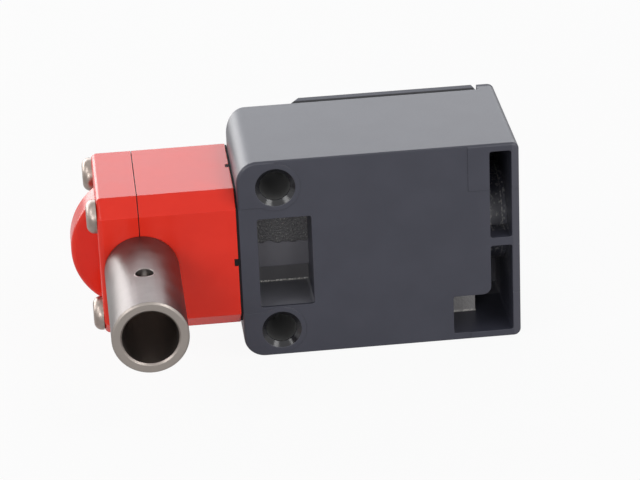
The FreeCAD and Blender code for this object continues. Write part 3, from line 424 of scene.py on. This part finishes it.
def glossy_red():
    """Polished red head plastic with a faint moulding wave and a dark seam."""
    look = Look("glossy_red", Roughness=0.2, Specular_IOR_Level=0.29)
    mottle = look.noise(5 * MM)
    wave = look.noise(1.4 * MM, detail=1)
    seam = look.within(look.axes()["X"], -SEAM_LINE, SEAM_LINE, SEAM_FADE)
    colour = look.tones(look.spread(mottle, 0, 1), (229, 46, 29), (233, 50, 33))
    look.paint(look.blend(seam, colour, (26, 10, 10)))
    look.roughen(look.combine("ADD", look.spread(mottle, 0.19, 0.24), look.product(seam, DULLNESS)))
    look.relief((wave, 0.004 * MM), edge=HEAD_EDGE)
    return look.material


def turned_steel(cross_hole):
    """Tumbled steel tube: faint turning rings, small stains, a fresh cut end, a painted highlight
    on the hole's rim.
    """
    look = Look("turned_steel", Metallic=1.0, Roughness=0.4)
    along = look.axes()["Y"]
    radius = look.from_line(X=0, Z=0)
    rings = look.add("ShaderNodeTexNoise", noise_dimensions="1D")
    rings.inputs["Scale"].default_value = 1 / TURNING_PITCH
    look.link(look.combine("ADD", along, radius), rings.inputs["W"])
    turning = rings.outputs[0]
    stain = look.noise(2.5 * MM, detail=5)
    grain = look.noise(0.1 * MM)
    colour = look.tones(look.spread(stain, 0, 1), (101, 95, 93), (113, 107, 105))
    cut_end = look.spread(along, 1, 0, TUBE_END, TUBE_END + EDGE_FADE)
    colour = look.blend(cut_end, colour, (157, 149, 143))
    hole_x, hole_y, _ = cross_hole["pos_m"]
    hole_radius = cross_hole["dims"]["r_mm"] * MM
    from_hole = look.from_line(X=hole_x, Y=hole_y)
    rim = look.within(from_hole, hole_radius, hole_radius + PIN_RIM_HIGHLIGHT, EDGE_FADE)
    upper_wall = look.spread(look.axes()["Z"], 0, 1, 0, EDGE_FADE)
    broken = look.spread(look.noise(0.7 * MM), 0.1, 1)
    # Painted highlight round the cross hole's rim, broken up.
    colour = look.blend(look.product(rim, upper_wall, broken), colour, (158, 152, 148))
    # Painted light: the bore is lighter than the tube's outside, over the shade inside it.
    bore = look.spread(radius, 1, 0, BORE_RADIUS, BORE_RADIUS + BORE_FADE)
    look.paint(look.blend(bore, colour, (150, 140, 135)))
    uneven = look.combine("ADD", look.product(turning, TURNING_SHARE),
                          look.product(stain, 1 - TURNING_SHARE))
    look.roughen(look.spread(uneven, 0.34, 0.42))
    look.relief((turning, 0.003 * MM), (grain, 0.004 * MM), edge=MOULD_EDGE)
    return look.material


def plain_look(name, cloud, dark, light, roughness, skin, height,
               contrast=(NOISE_LOW, NOISE_HIGH), **sockets):
    """A look whose tone and roughness follow one cloudy noise, over a relief of finer noise."""
    look = Look(name, **sockets)
    pattern = look.noise(**cloud)
    look.paint(look.tones(look.spread(pattern, 0, 1, *contrast), dark, light))
    look.roughen(look.spread(pattern, *roughness))
    look.relief((look.noise(**skin), height))
    return look.material


def hole_places(mount):
    """The mounting holes' radius, their countersunk rims' radius and their places in X and Z."""
    radius = mount["dims"]["hole_r_mm"] * MM
    x, _, z = mount["pos_m"]
    half = mount["dims"]["spacing_y_mm"] * MM / 2
    return radius, radius + COUNTERSINK, [(x, z - half), (x, z + half)]


def shade_smoothly(piece):
    """Marks all faces of a piece as smooth."""
    faces = piece.data.polygons
    faces.foreach_set("use_smooth", np.ones(len(faces), dtype=bool))


def smooth_node(node):
    """Shades a frame node smoothly: triangles joined, sharp edges split, flat faces kept flat."""
    shade_smoothly(node)
    weld = node.modifiers.new("weld", "WELD")
    weld.merge_threshold = WELD_REACH
    split = node.modifiers.new("split", "EDGE_SPLIT")
    split.split_angle = SHARP_EDGE
    even = node.modifiers.new("even", "WEIGHTED_NORMAL")
    even.keep_sharp = True
    even.weight = LARGE_FACE_WEIGHT


def wear(piece, material):
    """Puts one material on a piece."""
    piece.data.materials.clear()
    piece.data.materials.append(material)


def surface_piece(name, points, closed_across):
    """A mesh from a grid of points (along, across, 3), capped at its ends if closed across."""
    along, across = points.shape[:2]
    rows = np.arange(along - 1)[:, None]
    columns = np.arange(across if closed_across else across - 1)[None, :]
    following = (columns + 1) % across
    quads = np.stack([rows * across + columns, rows * across + following,
                      (rows + 1) * across + following, (rows + 1) * across + columns], axis=-1)
    faces = quads.reshape(-1, 4).tolist()
    if closed_across:
        faces.append(np.arange(across)[::-1].tolist())
        faces.append((np.arange(across) + (along - 1) * across).tolist())
    mesh = bpy.data.meshes.new(name)
    mesh.from_pydata(points.reshape(-1, 3).tolist(), [], faces)
    piece = bpy.data.objects.new(name, mesh)
    bpy.context.scene.collection.objects.link(piece)
    return piece


def conduit_thread(centre, start, end, radius):
    """The conduit thread's ridge: a trapezoid section carried along a helix about the entry's axis.

    The helix advances one pitch a turn from start to end. The section's root lies on the entry's
    wall and its crest one thread depth inside it; the crest nears the wall over the run-in at each
    end.
    """
    turns = (end - start - THREAD_ROOT) / THREAD_PITCH
    angle = np.linspace(0, FULL_TURN * turns, int(turns * THREAD_STEPS))[:, None]
    along = start + THREAD_ROOT / 2 + THREAD_PITCH * angle / FULL_TURN
    inset = np.array([0, THREAD_DEPTH, THREAD_DEPTH, 0])[None, :]
    offset = np.array([-THREAD_ROOT, -THREAD_CREST, THREAD_CREST, THREAD_ROOT])[None, :] / 2
    from_end = np.minimum(along - along[0], along[-1] - along)
    fade = np.clip(from_end / THREAD_RUN_IN, THREAD_LEAST, 1)
    reach = radius - inset * fade
    points = np.stack([along + offset + 0 * reach, centre.y + reach * np.cos(angle),
                       centre.z + reach * np.sin(angle)], axis=-1)
    return surface_piece("conduit_thread", points, closed_across=True)


def coil_spring(name, low, high, wire, turns):
    """A coil spring along X in the box between two corners: a round section carried along a helix.

    The wire's middle runs round the box's axis at the box's half height less the wire's radius.
    Along X it stays level for half a turn, climbs evenly with the angle, and stays level for the
    last half turn.
    """
    centre = (Vector(low) + Vector(high)) / 2
    radius = (high[2] - low[2]) / 2 - wire
    angle = np.linspace(0, FULL_TURN * turns, int(turns * COIL_STEPS))[:, None]
    climb = np.clip((angle / FULL_TURN - 0.5) / (turns - 1), 0, 1)
    along = low[0] + wire + (high[0] - low[0] - 2 * wire) * climb
    section = np.linspace(FULL_TURN, 0, WIRE_SIDES, endpoint=False)[None, :]
    reach = radius + wire * np.cos(section)
    points = np.stack([along + wire * np.sin(section) + 0 * angle, centre.y + reach * np.cos(angle),
                       centre.z + reach * np.sin(angle)], axis=-1)
    return surface_piece(name, points, closed_across=True)


def softbox(name, azimuth, elevation, distance, width, height, radiance, tint):
    """A rectangular lamp aimed at the part's middle, at degrees from the front and the floor."""
    lamp = bpy.data.lights.new(name, "AREA")
    lamp.shape = "RECTANGLE"
    lamp.size = width
    lamp.size_y = height
    lamp.energy = radiance * math.pi * width * height
    lamp.color = tint
    turn = math.radians(azimuth)
    rise = math.radians(elevation)
    outward = Vector((math.sin(turn) * math.cos(rise), -math.cos(turn) * math.cos(rise),
                      math.sin(rise)))
    box = bpy.data.objects.new(name, lamp)
    box.location = LAMP_AIM + distance * outward
    box.rotation_euler = (-outward).to_track_quat("-Z", "Y").to_euler()
    bpy.context.scene.collection.objects.link(box)


def seen_directly(tree, shares):
    """The largest share among the kinds of ray that look at this surface; 0 for any other ray."""
    path = tree.nodes.new("ShaderNodeLightPath")
    total = None
    for word, share in shares.items():
        scaled = tree.nodes.new("ShaderNodeMath")
        scaled.operation = "MULTIPLY"
        scaled.inputs[1].default_value = share
        tree.links.new(path.outputs[word], scaled.inputs[0])
        level = scaled.outputs["Value"]
        if total:
            either = tree.nodes.new("ShaderNodeMath")
            either.operation = "MAXIMUM"
            tree.links.new(total, either.inputs[0])
            tree.links.new(level, either.inputs[1])
            level = either.outputs["Value"]
        total = level
    return total


def studio_world():
    """A white surround, dimmer as a light than as it is seen."""
    world = bpy.data.worlds.new("studio")
    world.use_nodes = True
    tree = world.node_tree
    background = tree.nodes["Background"]
    background.inputs["Color"].default_value = (1, 1, 1, 1)
    level = tree.nodes.new("ShaderNodeMapRange")
    level.inputs["To Min"].default_value = WORLD_LIGHT
    level.inputs["To Max"].default_value = WORLD_SEEN
    tree.links.new(seen_directly(tree, SKY_SHARES), level.inputs["Value"])
    tree.links.new(level.outputs["Result"], background.inputs["Strength"])
    bpy.context.scene.world = world


def studio_floor(height):
    """A white floor under the part, which glows when looked at and still takes the shadow."""
    grid = np.array([-FLOOR_HALF_WIDTH, FLOOR_HALF_WIDTH])
    points = np.stack([*np.meshgrid(grid, grid, indexing="ij"), np.full((2, 2), height)], axis=-1)
    floor = surface_piece("floor", points, closed_across=False)
    material = bpy.data.materials.new("floor_white")
    material.use_nodes = True
    tree = material.node_tree
    tree.nodes.remove(tree.nodes["Principled BSDF"])
    matt = tree.nodes.new("ShaderNodeBsdfDiffuse")
    matt.inputs["Color"].default_value = (*FLOOR_COLOUR, 1)
    glow = tree.nodes.new("ShaderNodeEmission")
    mix = tree.nodes.new("ShaderNodeMixShader")
    tree.links.new(seen_directly(tree, FLOOR_SHARES), mix.inputs["Fac"])
    tree.links.new(matt.outputs["BSDF"], mix.inputs[1])
    tree.links.new(glow.outputs["Emission"], mix.inputs[2])
    tree.links.new(mix.outputs["Shader"], tree.nodes["Material Output"].inputs["Surface"])
    wear(floor, material)


def photo_camera():
    """The photograph's camera: yaw about the vertical, pitch down, roll about the line of sight."""
    level = Vector((math.sin(CAMERA_YAW), math.cos(CAMERA_YAW), 0))
    forward = level * math.cos(CAMERA_PITCH) - Vector((0, 0, math.sin(CAMERA_PITCH)))
    right = forward.cross(Vector((0, 0, 1))).normalized()
    up = right.cross(forward)
    side = math.cos(CAMERA_ROLL) * right + math.sin(CAMERA_ROLL) * up
    top = math.cos(CAMERA_ROLL) * up - math.sin(CAMERA_ROLL) * right
    data = bpy.data.cameras.new("photo_camera")
    data.sensor_width = SENSOR_WIDTH
    data.lens = CAMERA_LENS
    camera = bpy.data.objects.new("photo_camera", data)
    turned = Matrix((side, top, -forward)).transposed().to_4x4()
    camera.matrix_world = Matrix.Translation(CAMERA_PLACE) @ turned
    bpy.context.scene.collection.objects.link(camera)
    bpy.context.scene.camera = camera


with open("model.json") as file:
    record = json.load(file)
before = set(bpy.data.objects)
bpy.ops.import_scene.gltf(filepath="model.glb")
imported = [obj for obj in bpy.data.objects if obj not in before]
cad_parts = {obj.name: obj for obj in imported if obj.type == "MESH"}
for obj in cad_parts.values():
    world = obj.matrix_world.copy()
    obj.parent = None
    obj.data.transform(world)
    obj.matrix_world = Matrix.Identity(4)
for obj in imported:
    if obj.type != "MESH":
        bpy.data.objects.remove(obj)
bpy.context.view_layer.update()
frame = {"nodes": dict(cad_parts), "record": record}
nodes = frame["nodes"]
record = frame["record"]
mounts = {mount["name"]: mount for mount in record["mounts"]}

LOOKS = {
    "grey_housing": moulded_grey(hole_places(mounts["mounting_holes"])),
    "red_head": glossy_red(),
    "shaft_steel": turned_steel(mounts["locking_pin_hole"]),
    **{slot: plain_look(**values) for slot, values in PLAIN_LOOKS.items()},
}

for item in record["subparts"]:
    node = nodes[item["node"]]
    smooth_node(node)
    wear(node, LOOKS[item["material_slot"]])

housing_low, housing_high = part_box("body_housing")
entry = mounts["conduit_entry"]
entry_radius = entry["dims"]["r_mm"] * MM
entry_length = entry["dims"]["length_mm"] * MM
thread_end = housing_high[0] - THREAD_MOUTH
thread = conduit_thread(Vector(entry["pos_m"]), thread_end - entry_length, thread_end, entry_radius)
wear(thread, LOOKS["grey_housing"])
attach(thread, "housing_body")

for name, (slide, wire, turns) in SPRINGS.items():
    low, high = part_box(name)
    coil = coil_spring(f"{name}_coil", low, high, wire, turns)
    shade_smoothly(coil)
    wear(coil, LOOKS["spring_steel"])
    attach(coil, "housing_body")
    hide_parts(name)
    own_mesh(coil)

studio_world()
studio_floor(housing_low[2])
for name, values in LAMPS.items():
    softbox(name, *values)
photo_camera()
bpy.context.scene.view_settings.view_transform = "Standard"
